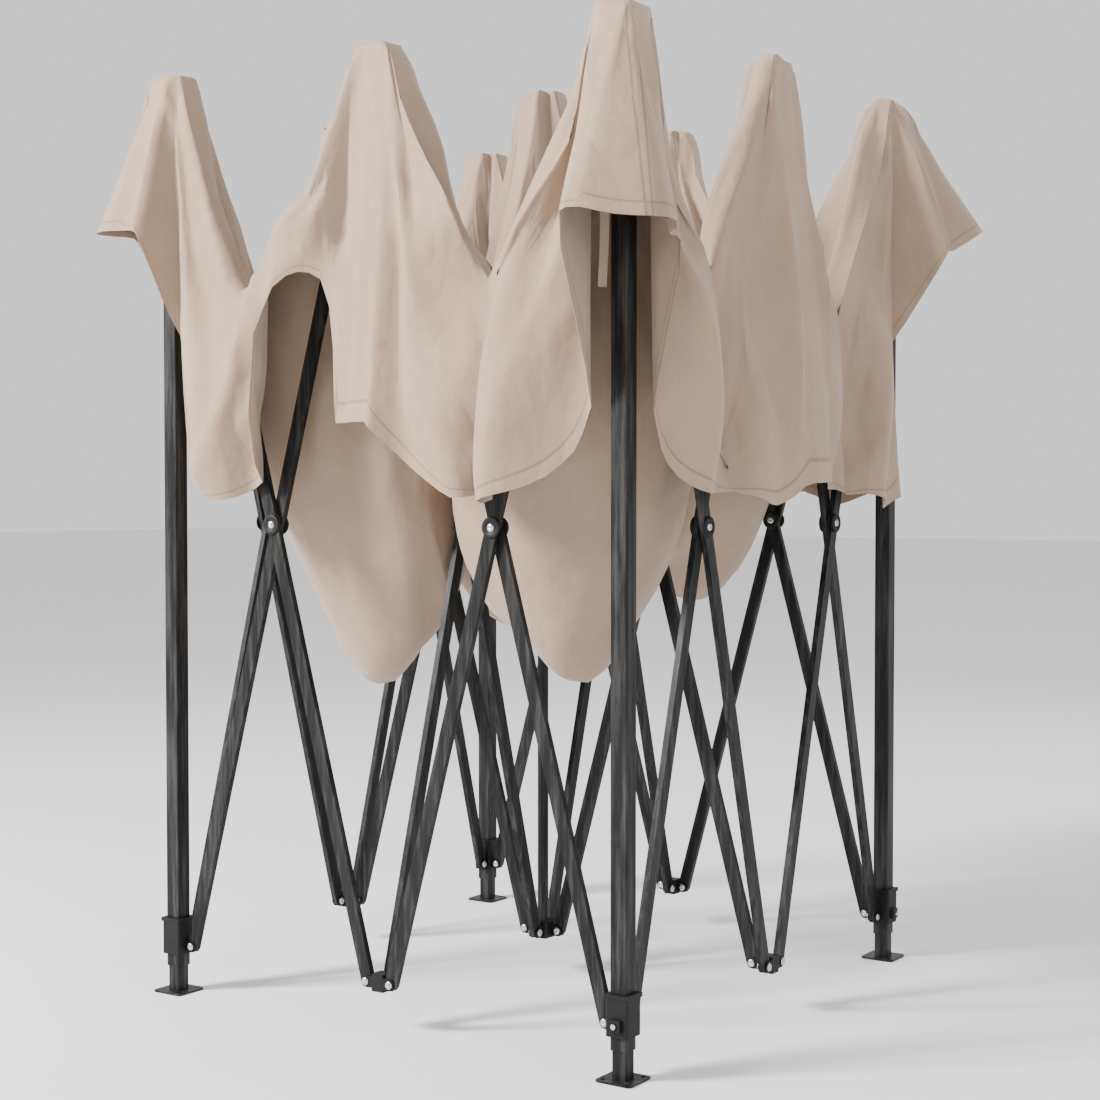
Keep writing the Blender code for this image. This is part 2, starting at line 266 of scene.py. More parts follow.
def fabric_material(name, light, dark, stitched=True):
    """Coated polyester: fine plain weave, faint crush marks, soft sheen."""
    material, tree, shader = new_material(name)
    broad = noise_node(tree, 3.2, 4.0, 0.55)
    crush = noise_node(tree, 34.0, 5.0, 0.62)
    slub = noise_node(tree, 420.0, 2.0, 0.5, (1, 1, 0.12))
    base = ramp(tree, broad, ((0.32, dark), (0.68, light)))
    crushed = ramp(tree, crush, ((0.35, grey(0)), (0.75, grey(0.34))))
    base = mixed(tree, crushed, base, dark)
    slubbed = ramp(tree, slub, ((0.4, grey(0)), (0.8, grey(0.22))))
    base = mixed(tree, slubbed, base, light)
    if stitched:
        thread = math_node(tree, "MULTIPLY", sewn_thread(tree), 0.55)
        base = mixed(tree, thread, base, tuple(0.55 * c for c in dark))
    tree.links.new(base, shader.inputs["Base Color"])
    rough = ramp(tree, crush, ((0.2, grey(0.62)), (0.8, grey(0.80))))
    tree.links.new(rough, shader.inputs["Roughness"])
    shader.inputs["Sheen Weight"].default_value = 0.22
    shader.inputs["Sheen Roughness"].default_value = 0.45
    shader.inputs["Specular IOR Level"].default_value = 0.32
    warp = math_node(tree, "MULTIPLY", wave_node(tree, "DIAGONAL", 190.0), 0.5)
    weft = math_node(tree, "MULTIPLY", wave_node(tree, "Z", 330.0), 0.5)
    weave = math_node(tree, "ADD", warp, weft)
    wrinkle = crease_lines(tree, 6.5, (1, 1, 0.7))
    fine_wrinkle = crease_lines(tree, 21.0, (1, 1, 0.8))
    heights = [
        (wrinkle, 0.030, 0.55), (fine_wrinkle, 0.008, 0.45), (crush, 0.0022, 0.35),
        (weave, 0.00035, 0.5),
    ]
    if stitched:
        heights += stitch_lines(tree)
    bumped(tree, shader, heights)
    return material


def enamel_material():
    """Black powder coat: orange peel, and paint rubbed thin along the corners."""
    material, tree, shader = new_material("powder_coat_black")
    peel = noise_node(tree, 620.0, 3.0, 0.6)
    smear = noise_node(tree, 9.0, 5.0, 0.6, (1, 1, 0.25))
    scratch = noise_node(tree, 95.0, 6.0, 0.7, (1, 1, 0.06))
    geometry = add_node(tree, "ShaderNodeNewGeometry")
    edge = ramp(tree, geometry.outputs["Pointiness"], ((0.505, grey(0)), (0.56, grey(1))))
    scratched = ramp(tree, scratch, ((0.45, grey(0)), (0.7, grey(1))))
    worn = math_node(tree, "MULTIPLY", edge, scratched)
    base = ramp(tree, smear, ((0.3, (0.0045, 0.0045, 0.0048)), (0.75, (0.0090, 0.0088, 0.0086))))
    base = mixed(tree, math_node(tree, "MULTIPLY", worn, 0.5), base, (0.085, 0.082, 0.078))
    tree.links.new(base, shader.inputs["Base Color"])
    rough = ramp(tree, smear, ((0.25, grey(0.38)), (0.8, grey(0.46))))
    tree.links.new(rough, shader.inputs["Roughness"])
    shader.inputs["Coat Weight"].default_value = 0.03
    shader.inputs["Specular IOR Level"].default_value = 0.14
    shader.inputs["Coat Roughness"].default_value = 0.28
    bumped(tree, shader, ((scratch, 0.0004, 0.25), (peel, 0.00025, 0.35)))
    return material


def moulded_material():
    """Black glass-filled nylon: fine spark texture and faint flow marks."""
    material, tree, shader = new_material("moulded_black")
    grain = noise_node(tree, 900.0, 4.0, 0.65)
    flow = noise_node(tree, 22.0, 4.0, 0.55)
    base = ramp(tree, flow, ((0.3, (0.0055, 0.0055, 0.0058)), (0.75, (0.011, 0.0108, 0.0105))))
    tree.links.new(base, shader.inputs["Base Color"])
    rough = ramp(tree, grain, ((0.2, grey(0.44)), (0.8, grey(0.62))))
    tree.links.new(rough, shader.inputs["Roughness"])
    shader.inputs["Specular IOR Level"].default_value = 0.18
    bumped(tree, shader, ((flow, 0.0006, 0.2), (grain, 0.0003, 0.45)))
    return material


def steel_material():
    """Zinc-plated bolt steel, turned rings of fine scratches and small stains."""
    material, tree, shader = new_material("plated_steel")
    stain = noise_node(tree, 160.0, 4.0, 0.6)
    fine = noise_node(tree, 1400.0, 3.0, 0.6, (1, 1, 0.2))
    base = ramp(tree, stain, ((0.3, (0.40, 0.40, 0.41)), (0.7, (0.66, 0.66, 0.67))))
    tree.links.new(base, shader.inputs["Base Color"])
    shader.inputs["Metallic"].default_value = 1.0
    rough = ramp(tree, stain, ((0.3, grey(0.24)), (0.75, grey(0.42))))
    tree.links.new(rough, shader.inputs["Roughness"])
    bumped(tree, shader, ((fine, 0.0002, 0.3),))
    return material


def floor_material():
    """Pale matt floor, barely uneven in tone."""
    material, tree, shader = new_material("pale_floor")
    broad = noise_node(tree, 1.3, 3.0, 0.5)
    base = ramp(tree, broad, ((0.3, grey(0.80)), (0.7, grey(0.83))))
    tree.links.new(base, shader.inputs["Base Color"])
    shader.inputs["Roughness"].default_value = 0.75
    return material


FABRIC = fabric_material("cover_polyester", (0.390, 0.283, 0.200), (0.300, 0.208, 0.140))
WEBBING = fabric_material("strap_webbing", (0.420, 0.320, 0.230), (0.310, 0.225, 0.155), False)
ENAMEL = enamel_material()
MOULDED = moulded_material()
STEEL = steel_material()
BY_SLOT = {"frame_black": ENAMEL, "joint_black": MOULDED, "bolt_steel": STEEL}


def dress_cad_nodes():
    """Gives every carried-over CAD node its procedural material."""
    for row in frame["record"]["subparts"]:
        material = BY_SLOT.get(row["material_slot"])
        if material is None:
            continue
        node = bpy.data.objects[row["node"]]
        for place in range(len(node.data.materials)):
            node.data.materials[place] = material


# ---------------------------------------------------------------- cover: the shape it hangs in
DEAD_ALONG = 0.036  # flat on a post, along a truss
DEAD_ACROSS = 0.018
INNER_DROP = 0.665  # of the valleys over the inner and the outer trusses
OUTER_DROP = 0.400
VALLEY_POWER = 1.06
POUCH = {(-1, -1): 0.345, (1, -1): 0.330, (1, 1): 0.215, (-1, 1): 0.270}


def unit_between(distance, dead):
    """0 to 1 from the middle post to the outer post, with a dead zone at each."""
    return min(1.0, max(0.0, (distance - dead) / (HALF - 2 * dead)))


def tent(share, peak=0.5, roundness=0.0):
    """0 at both ends and 1 at the peak, sharp or rounded there."""
    across = (share / peak - 1.0) if share < peak else (share - peak) / (1.0 - peak)
    whole = math.sqrt(1.0 + roundness ** 2)
    return (whole - math.sqrt(across ** 2 + roundness ** 2)) / (whole - roundness)


def smooth(share):
    share = np.clip(share, 0.0, 1.0)
    return share * share * (3.0 - 2.0 * share)


def post_top(x, y):
    """The crest's height over the nearest post: a little lower over the centre pole."""
    near = np.hypot(x, y)
    return CREST - (CORNER_TOP - POLE_TOP - 0.002) * (1.0 - smooth((near - 0.05) / (HALF - 0.10)))


# Each side's lowest place between its middle post and an outer post, where it isn't halfway.
NOTCHES = {("front", -1): 0.60, ("front", 1): 0.52, ("right", -1): 0.54, ("right", 1): 0.42}


def notch_place(x, y):
    """Where the roof's edge is lowest between two posts, which fades to the middle inwards."""
    across = 0.5
    turn = 0 if y < 0 else 2
    near_edge = unit_between(abs(y), DEAD_ACROSS) ** 3
    run = -x if turn == 2 else x
    across += (NOTCHES.get((SIDES[turn], 1 if run > 0 else -1), 0.5) - 0.5) * near_edge
    turn = 1 if x > 0 else 3
    near_edge = unit_between(abs(x), DEAD_ACROSS) ** 3
    run = y if turn == 1 else -y
    upright = 0.5 + (NOTCHES.get((SIDES[turn], 1 if run > 0 else -1), 0.5) - 0.5) * near_edge
    return across, upright


def roof_height(x, y):
    """The roof's height: valleys along the trusses, cones at the posts, a pouch in each cell."""
    ax, ay = abs(x), abs(y)
    ux, uy = unit_between(ax, DEAD_ALONG), unit_between(ay, DEAD_ALONG)
    wx, wy = unit_between(ax, DEAD_ACROSS), unit_between(ay, DEAD_ACROSS)
    round_x, round_y = math.sqrt(4 * wx * (1 - wx)), math.sqrt(4 * wy * (1 - wy))
    peak_x, peak_y = notch_place(x, y)
    most_x = INNER_DROP + (OUTER_DROP - INNER_DROP) * wy
    most_y = INNER_DROP + (OUTER_DROP - INNER_DROP) * wx
    drop_x = most_x * tent(ux, peak_x, 0.75 * round_y) ** VALLEY_POWER
    drop_y = most_y * tent(uy, peak_y, 0.75 * round_x) ** VALLEY_POWER
    valley = (drop_x ** 3 + drop_y ** 3) ** (1 / 3)
    bowl = (round_x * round_y) ** 0.62
    depth = POUCH[(1 if x > 0 else -1, 1 if y > 0 else -1)]
    return float(post_top(x, y) - valley - depth * bowl + gather(x, y))


GATHER_REACH = 0.26
GATHER_DEPTH = 0.022
PLEAT_REACH = 0.30
PLEAT_DEPTH = 0.045


def gather(x, y):
    """Folds that run down and inwards from where the cloth is gathered over a crossing."""
    total = 0.0
    for start, end, _, _, _ in TRUSSES.values():
        dx, dy = x - (start[0] + end[0]) / 2, y - (start[1] + end[1]) / 2
        away = math.hypot(dx, dy)
        if away > GATHER_REACH:
            continue
        wave = 1.0 - 2.0 * abs(math.sin(2.6 * math.atan2(dy, dx) + 5.0 * start[0] - 3.0 * end[1]))
        total += GATHER_DEPTH * wave * smooth((away - 0.04) / 0.07) * (1 - smooth((away - 0.13) / 0.13))
    return total


def pleat(x, y):
    """Vertical folds that run down from the posts and die out in the pouches."""
    total = 0.0
    for px in (-HALF, 0.0, HALF):
        for py in (-HALF, 0.0, HALF):
            dx, dy = x - px, y - py
            away = math.hypot(dx, dy)
            if away > PLEAT_REACH:
                continue
            angle = math.atan2(dy, dx)
            phase = 1.7 * px / HALF + 2.9 * py / HALF
            wave = 0.6 * math.cos(6 * angle + phase) + 0.4 * math.cos(11 * angle - 1.3 * phase)
            reach = smooth((away - 0.03) / 0.08) * (1 - smooth((away - 0.14) / 0.16))
            total += PLEAT_DEPTH * wave * reach
    return total


def axis_lines():
    """Grid positions from the middle to the outer edge, close together near the posts."""
    near = [0.0, 0.009, DEAD_ACROSS, 0.027]
    inner = [
        DEAD_ALONG + (HALF - 2 * DEAD_ALONG) * (1 - math.cos(math.pi * k / CELL_STEPS)) / 2
        for k in range(CELL_STEPS + 1)
    ]
    far = [HALF - d for d in reversed(near)] + [HALF + EDGE / 2, OUTER]
    half = near + inner + far
    return [-c for c in reversed(half[1:])] + half


# The hoods over the corners: how far each side's hem is below the crest and outside the roof's edge.
HOOD_DROP = 0.268
HOOD_DROPS = {"front_right": 0.312, "right_front": 0.340}
HOOD_OUT = 0.130
HOOD_OUTS = {
    "front_right": 0.148, "right_front": 0.066, "right_back": 0.106, "back_right": 0.106,
    "front_left": 0.084, "left_front": 0.084,
}
HOOD_START = 0.033  # from an outer post's centre, where the side starts to turn into its hood
HOOD_BLEND = 0.020
HOOD_FLARE = 0.85

# The hem of each outer truss, from its side's middle post (place 0) to its corner (place 1):
# place, drop below the crest, distance outside the roof's edge.
PLAIN_HEM = (
    (0.0, 0.275, 0.070), (0.05, 0.300, 0.066), (0.10, 0.500, 0.050), (0.22, 0.620, 0.045),
    (0.40, 0.690, 0.036), (0.50, 0.700, 0.022), (0.62, 0.690, 0.034), (0.80, 0.660, 0.030),
    (0.90, 0.600, 0.018), (0.955, 0.500, 0.012),
)
HEMS = {
    "front_left": (
        (0.0, 0.600, 0.050), (0.05, 0.480, 0.050), (0.09, 0.350, 0.050), (0.20, 0.345, 0.055),
        (0.32, 0.370, 0.060), (0.36, 0.540, 0.058), (0.42, 0.655, 0.056), (0.52, 0.700, 0.050),
        (0.70, 0.706, 0.050), (0.90, 0.690, 0.024), (0.955, 0.610, 0.014),
    ),
    "front_right": (
        (0.0, 0.600, 0.060), (0.15, 0.655, 0.058), (0.34, 0.712, 0.045), (0.50, 0.704, 0.020),
        (0.60, 0.722, 0.034), (0.76, 0.704, 0.042), (0.90, 0.676, 0.026), (0.955, 0.645, 0.016),
        (1.0, 0.585, 0.008),
    ),
    "right_front": (
        (0.0, 0.690, 0.080), (0.20, 0.712, 0.085), (0.40, 0.704, 0.070), (0.60, 0.700, 0.050),
        (0.80, 0.686, 0.036), (0.90, 0.668, 0.022), (0.955, 0.640, 0.014), (1.0, 0.585, 0.008),
    ),
    "right_back": (
        (0.0, 0.690, 0.080), (0.10, 0.640, 0.070), (0.25, 0.690, 0.050), (0.50, 0.704, 0.024),
        (0.70, 0.710, 0.040), (0.85, 0.725, 0.036), (0.955, 0.720, 0.030),
    ),
    "back_right": (
        (0.0, 0.275, 0.070), (0.06, 0.300, 0.066), (0.12, 0.500, 0.050), (0.30, 0.650, 0.042),
        (0.50, 0.700, 0.022), (0.70, 0.705, 0.040), (0.85, 0.722, 0.036), (0.955, 0.715, 0.030),
    ),
}
LEG_SIDE = (1.0, 0.440, 0.004)  # the last row, unless a truss has its own
RIDGE_BEND = 0.42  # the share of the strip above the ridge that runs down to the crossing


def hem_at(truss, place):
    rows = HEMS.get(truss, PLAIN_HEM)
    if rows[-1][0] < LEG_SIDE[0]:
        rows += (LEG_SIDE,)
    places, drops, outs = zip(*rows)
    return float(np.interp(place, places, drops)), float(np.interp(place, places, outs))


def strip_profile(along, turn, share):
    """Outward distance and height of the outer strip: share 0 is the roof's edge, 1 the hem."""
    x, y = spun(along, -OUTER, turn)
    top = roof_height(x, y)
    side = SIDES[turn]
    place = unit_between(abs(along), DEAD_ALONG)
    from_post = 2 * min(place, 1 - place)
    truss = f"{side}_{ENDS[side][0 if along < 0 else 1]}"
    drop, out = hem_at(truss, place)
    hem = CREST - drop
    ridge = CREST - 0.012 - 0.620 * from_post ** 0.96
    if (side, along < 0) == ("front", True):
        ridge = min(top - 0.012, CREST - 0.012 - 0.690 * place)
    ridge = max(ridge, hem + 0.05)
    swell = math.sin(math.pi * min(1.0, from_post)) ** 1.3
    ridge_out = 0.006 + 0.040 * swell
    if share < RIDGE_BEND:
        part = share / RIDGE_BEND
        gone, height = ridge_out * part, top + (ridge - top) * part
    else:
        part = (share - RIDGE_BEND) / (1 - RIDGE_BEND)
        belly = 0.026 * math.sin(math.pi * part) * swell
        gone, height = ridge_out + (out - ridge_out) * part + belly, ridge + (hem - ridge) * part
    gone += fan_fold(along, turn, height, share)
    hood = smooth((abs(along) - (HALF - HOOD_START)) / HOOD_BLEND)
    gone += (HOOD_OUTS.get(truss, HOOD_OUT) * share ** HOOD_FLARE - gone) * hood
    height += (CREST - HOOD_DROPS.get(truss, HOOD_DROP) * share - height) * hood
    return gone, height


FAN_PITCH = 0.27  # radians between folds
FAN_DEPTH = 0.0145


def fan_fold(along, turn, height, share):
    """Sharp folds that fan out from the nearest post's top, in metres outwards."""
    distance = abs(along)
    run = min(distance, abs(HALF - distance))
    fallen = max(0.02, CREST - height)
    angle = math.atan2(run, fallen)
    phase = 1.9 * turn + (0.8 if distance > HALF / 2 else 2.3) + (0.6 if along < 0 else 0.0)
    wave = 1.0 - 2.0 * abs(math.sin(angle * math.pi / FAN_PITCH + phase))
    low = smooth((fallen - 0.10) / 0.22)
    return FAN_DEPTH * wave * low * smooth(share * 4) * smooth((run - 0.02) / 0.05)


# Each hood's tip, as a share of the plain tip's reach and length.
TIP_REACH = 0.118
TIP_LENGTH = 0.256
HOOD_REACH = {"back_right": 1.18, "front_left": 0.80}
HOOD_LENGTH = {"back_right": 0.82, "front_right": 1.22}


def fan_profile(corner, share):
    """The hood's corner, from the bracket's corner out to the tip of its hem."""
    reach = TIP_REACH * HOOD_REACH.get(corner, 1.0)
    length = TIP_LENGTH * HOOD_LENGTH.get(corner, 1.0)
    return reach * share ** HOOD_FLARE, CREST - 0.012 * min(1.0, share * 8) - length * share


SAME_PLACE = 1e-7


def on_cell_diagonal(point):
    """True on the lines that divide a cell between its four trusses, where the cover is cut."""
    x, y = abs(point[0]), abs(point[1])
    return abs(x - y) < SAME_PLACE or abs(x + y - HALF) < SAME_PLACE


def cover_shape():
    """The whole cover as one sheet: vertices, faces, and each vertex's place along the cloth."""
    lines = axis_lines()
    count = len(lines)
    points, cloth, faces = [], [], []
    for y in lines:
        for x in lines:
            height = roof_height(x, y) + pleat(x, y)
            points.append((x, y, height))
            cloth.append((x, y, 0.0))

    def at(i, j):
        return j * count + i

    for j in range(count - 1):
        for i in range(count - 1):
            a, b, c, d = at(i, j), at(i + 1, j), at(i + 1, j + 1), at(i, j + 1)
            if on_cell_diagonal(points[a]) and on_cell_diagonal(points[c]):
                faces += [(a, b, c), (a, c, d)]
            elif on_cell_diagonal(points[b]) and on_cell_diagonal(points[d]):
                faces += [(a, b, d), (b, c, d)]
            else:
                faces.append((a, b, c, d))

    last = count - 1
    edges = (
        [at(k, 0) for k in range(count)],
        [at(last, k) for k in range(count)],
        [at(last - k, last) for k in range(count)],
        [at(0, last - k) for k in range(count)],
    )
    columns = []
    for turn in range(4):
        for k in range(count):
            along = lines[k]
            column = [edges[turn][k]]
            for row in range(1, STRIP_ROWS + 1):
                share = row / STRIP_ROWS
                out, height = strip_profile(along, turn, share)
                x, y = spun(along, -OUTER - out, turn)
                column.append(len(points))
                points.append((x, y, height))
                cx, cy = spun(along, -OUTER, turn)
                cloth.append((cx, cy, share))
            columns.append(column)
        for k in range(1, FAN_STEPS):
            angle = math.pi / 2 * k / FAN_STEPS
            column = [edges[turn][last]]
            widen = 1.0 + 0.12 * math.sin(2 * angle)
            for row in range(1, STRIP_ROWS + 1):
                share = row / STRIP_ROWS
                out, height = fan_profile(CORNERS[(turn + 1) % 4], share)
                edge_out, edge_height = strip_profile(OUTER, turn, share)
                next_out, next_height = strip_profile(-OUTER, (turn + 1) % 4, share)
                edge_out += (next_out - edge_out) * k / FAN_STEPS
                edge_height += (next_height - edge_height) * k / FAN_STEPS
                mix = math.sin(2 * angle)
                out = (edge_out + (out - edge_out) * mix) * widen
                height = edge_height + (height - edge_height) * mix
                x, y = spun(OUTER + out * math.sin(angle), -OUTER - out * math.cos(angle), turn)
                column.append(len(points))
                points.append((x, y, height))
                cx, cy = spun(OUTER, -OUTER, turn)
                cloth.append((cx, cy, share))
            columns.append(column)
    for k, column in enumerate(columns):
        following = columns[(k + 1) % len(columns)]
        for row in range(STRIP_ROWS):
            a, b = column[row], following[row]
            c, d = following[row + 1], column[row + 1]
            faces.append((d, c, b, a) if a != b else (d, c, a))
    return points, cloth, faces


POSTS = [(px, py) for px in (-1, 0, 1) for py in (-1, 0, 1)]


def post_distance(x, y):
    """How far a plan point is from the nearest post."""
    return min(math.hypot(x - px * HALF, y - py * HALF) for px, py in POSTS)


FOLD_SEED = 7


def crumpled(points, cloth):
    """Soft uneven folds, the same on every run."""
    noise.seed_set(FOLD_SEED)  # noise_vector otherwise takes its seed from the clock
    made = []
    for (x, y, z), (_, _, share) in zip(points, cloth):
        free = float(smooth((post_distance(x, y) - 0.03) / 0.08))
        where = Vector((x * 7.0, y * 7.0, z * 2.2))
        fine = Vector((x * 19.0, y * 19.0, z * 5.0))
        push = noise.noise_vector(where) * 0.013 + noise.noise_vector(fine) * 0.003
        lift = 1.0 if share == 0.0 else 0.4
        made.append((x + push.x * free, y + push.y * free, z + push.z * free * lift))
    return made


SETTLE_FRAMES = 26
SPARE_CLOTH = 0.035


def relaxed(mesh, pinned):
    """A short cloth simulation: the sheet settles with a few per cent of spare cloth."""
    cover = bpy.data.objects.new("cover_simulation", mesh)
    bpy.context.scene.collection.objects.link(cover)
    group = cover.vertex_groups.new(name="held")
    group.add(pinned, 1.0, "REPLACE")
    modifier = cover.modifiers.new("Cloth", "CLOTH")
    settings = modifier.settings
    settings.quality = 6
    settings.mass = 0.15
    settings.tension_stiffness = 25
    settings.compression_stiffness = 25
    settings.shear_stiffness = 10
    settings.bending_stiffness = 0.8
    settings.air_damping = 2.5
    settings.shrink_min = -SPARE_CLOTH
    settings.shrink_max = -SPARE_CLOTH
    settings.vertex_group_mass = "held"
    modifier.collision_settings.use_collision = False
    modifier.collision_settings.use_self_collision = False
    modifier.point_cache.frame_start = 1
    modifier.point_cache.frame_end = SETTLE_FRAMES
    for step in range(1, SETTLE_FRAMES + 1):
        bpy.context.scene.frame_set(step)
    depsgraph = bpy.context.evaluated_depsgraph_get()
    settled = bpy.data.meshes.new_from_object(cover.evaluated_get(depsgraph))
    places = np.empty(len(settled.vertices) * 3)
    settled.vertices.foreach_get("co", places)
    bpy.data.objects.remove(cover, do_unlink=True)
    bpy.data.meshes.remove(settled)
    bpy.context.scene.frame_set(1)
    return places.reshape(-1, 3)


HELD_OVER_POST = 0.030
HELD_AT_CROSSING = 0.05
VALLEYS_BELOW = CREST - 0.35


def held_points(points, cloth):
    """Vertices that rest on the frame: over the posts, and in the valleys over the crossings."""
    held = []
    for index, ((x, y, z), (cx, cy, share)) in enumerate(zip(points, cloth)):
        nearest = min(max(abs(cx - px * HALF), abs(cy - py * HALF)) for px, py in POSTS)
        if share <= 0.1 and nearest < HELD_OVER_POST:
            held.append(index)
            continue
        for start, end, out, _, _ in TRUSSES.values():
            mx, my = (start[0] + end[0]) / 2, (start[1] + end[1]) / 2
            side_off = abs((x - mx) * out[0] + (y - my) * out[1])
            along_off = math.hypot(x - mx, y - my)
            if max(along_off, side_off) < HELD_AT_CROSSING and z < VALLEYS_BELOW:
                held.append(index)
                break
    return held


NEAR_DRIFT = 0.006  # how far cloth may settle, on a post and away from the posts
FAR_DRIFT = 0.055
CLEAR = 0.0225  # from an outer post's centre to the inside of the cloth that hangs past it
BAND_HALF = 0.0185  # cloth this near a truss's plane lies over its bars
BAND_DRIFT = 0.004
BAND_SIDE = 0.0165  # the rest, below the bars' tops, stays this far off that plane
BAND_REACH = 0.2
EDGE_SLACK = 0.0005


def kept_clear(places, rest, cloth):
    """Keeps settled cloth off the legs and bars, and within reach of its shape before settling."""
    moved = places - rest
    length = np.linalg.norm(moved, axis=1, keepdims=True)
    from_post = np.array([[post_distance(cx, cy)] for cx, cy, _ in cloth])
    most = NEAR_DRIFT + (FAR_DRIFT - NEAR_DRIFT) * smooth((from_post - 0.045) / 0.075)
    places = rest + moved * np.minimum(1.0, most / np.maximum(length, 1e-9))
    for index in range(len(places)):
        x, y, z = places[index]
        cx, cy, share = cloth[index]
        if abs(cy) >= OUTER - EDGE_SLACK and (share > 0 or abs(cx) < OUTER):
            places[index, 1] = math.copysign(max(abs(y), HALF + CLEAR), cy)
        if abs(cx) >= OUTER - EDGE_SLACK and (share > 0 or abs(cy) < OUTER):
            places[index, 0] = math.copysign(max(abs(x), HALF + CLEAR), cx)
        if share > 0:
            continue
        x, y, z = places[index]
        for line in (-HALF, 0.0, HALF):
            if abs(cy - line) <= BAND_HALF or (line and cy / line > 1.0):
                floor = bar_edge(x, line != 0.0)
                places[index, 2] = max(places[index, 2], floor)
                places[index, 1] = min(max(y, cy - BAND_DRIFT), cy + BAND_DRIFT)
            elif abs(cy - line) < BAND_REACH and z < bar_edge(x, line != 0.0):
                side = 1.0 if cy > line else -1.0
                places[index, 1] = line + side * max(side * (y - line), BAND_SIDE)
            if abs(cx - line) <= BAND_HALF or (line and cx / line > 1.0):
                floor = bar_edge(y, line != 0.0)
                places[index, 2] = max(places[index, 2], floor)
                places[index, 0] = min(max(x, cx - BAND_DRIFT), cx + BAND_DRIFT)
            elif abs(cx - line) < BAND_REACH and z < bar_edge(y, line != 0.0):
                side = 1.0 if cx > line else -1.0
                places[index, 0] = line + side * max(side * (x - line), BAND_SIDE)
    return places


EAR_ROOM = 0.006


def bar_edge(run, outer):
    """The height that a truss's two bars and their ears reach, at a distance along its side."""
    distance = abs(run)
    near_pin, far_pin = (MID_PIN, POST_PIN) if outer else (POST_PIN, MID_PIN)
    inside = max(0.0, min(distance - near_pin, HALF - far_pin - distance))
    reach = HIGH_PIN + BAR_HALF / math.sin(LEAN) + EAR_ROOM - inside / math.tan(LEAN)
    return min(CORNER_TOP + 0.0015, reach)


CAP_REACH = 0.045
CAP_SHARE = 0.45  # how far down the strip a cap goes, beside a post
HOOD_HALF = 0.034
CELL_SLACK = 1e-6


def zone_of(cx, cy, share):
    """The piece that a patch of cloth belongs to, from its place along the cloth."""
    for px, py in POSTS:
        off = max(abs(cx - px * HALF), abs(cy - py * HALF))
        beside = min(abs(cx), abs(cy)) < HALF - HOOD_HALF
        if off < CAP_REACH and not (beside and share > CAP_SHARE):
            return ("cap", px, py)
    if share > 0.0 or max(abs(cx), abs(cy)) > HALF:
        for turn, side in enumerate(SIDES):
            along, outwards = spun(cx, cy, 4 - turn)
            if outwards <= -HALF and abs(along) <= OUTER:
                return ("truss", f"{side}_{ENDS[side][0 if along < 0 else 1]}")
    best, name = None, None
    for key, (start, end, out, _, _) in TRUSSES.items():
        middle = ((start[0] + end[0]) / 2, (start[1] + end[1]) / 2)
        run = (end[0] - start[0]) / HALF, (end[1] - start[1]) / HALF
        off_side = abs((cx - middle[0]) * out[0] + (cy - middle[1]) * out[1])
        off_run = abs((cx - middle[0]) * run[0] + (cy - middle[1]) * run[1])
        if off_run <= HALF / 2 + CELL_SLACK and (best is None or off_side < best):
            best, name = off_side, key
    return ("truss", name)


def body_of_post(px, py):
    """The body that carries the cap over a post."""
    if px == 0 and py == 0:
        return "lower_hub"
    if px and py:
        return f"leg_{'front' if py < 0 else 'back'}_{'left' if px < 0 else 'right'}"
    turn = next(t for t in range(4) if spun(0, -1, t) == (px, py))
    return f"top_connector_{SIDES[turn]}"


def new_piece(name, vertices, faces, material, smooth_shading=True):
    mesh = bpy.data.meshes.new(name)
    mesh.from_pydata(vertices, [], faces)
    mesh.update()
    mesh.materials.append(material)
    if smooth_shading:
        mesh.polygons.foreach_set("use_smooth", [True] * len(mesh.polygons))
    made = bpy.data.objects.new(name, mesh)
    bpy.context.scene.collection.objects.link(made)
    return made


def build_cover():
    """Makes the cover, settles it, and cuts it into pieces: caps that ride on the posts' bodies, and
    sheets along the trusses.
    """
    points, cloth, faces = cover_shape()
    points = crumpled(points, cloth)
    mesh = bpy.data.meshes.new("cover")
    mesh.from_pydata(points, [], faces)
    mesh.update()
    rest = np.array(points)
    held = held_points(points, cloth)
    places = relaxed(mesh.copy(), held)
    places = kept_clear(places, rest, cloth)
    places = eased(places, faces, held)
    places = kept_clear(places, rest, cloth)
    normals = vertex_normals(places, faces)
    sewn = sewing_distances(places, cloth)
    zones = {}
    for face in faces:
        centre = [sum(cloth[k][c] for k in face) / len(face) for c in range(3)]
        zones.setdefault(zone_of(*centre), []).append(face)
    for zone in sorted(zones, key=str):
        add_cover_piece(zone, zones[zone], places, normals, sewn)


EASE_ROUNDS = 2
EASE_SHARE = 0.35


def eased(places, faces, held):
    """Takes out the small kinks that the frame's clearances leave in the settled cloth."""
    pairs = np.array([(a, b) for face in faces for a, b in zip(face, face[1:] + face[:1])])
    fixed = np.zeros(len(places), dtype=bool)
    fixed[held] = True
    for _ in range(EASE_ROUNDS):
        total = np.zeros_like(places)
        count = np.zeros(len(places))
        for a, b in ((0, 1), (1, 0)):
            np.add.at(total, pairs[:, a], places[pairs[:, b]])
            np.add.at(count, pairs[:, a], 1.0)
        mean = total / np.maximum(count, 1.0)[:, None]
        moved = places + (mean - places) * EASE_SHARE
        places = np.where(fixed[:, None], places, moved)
    return places


AT_EDGE = OUTER - 0.001
CORNER_COLUMN = 0.27  # the cloth's length from the roof's edge to the hem, at a corner and elsewhere
SIDE_COLUMN = 0.50


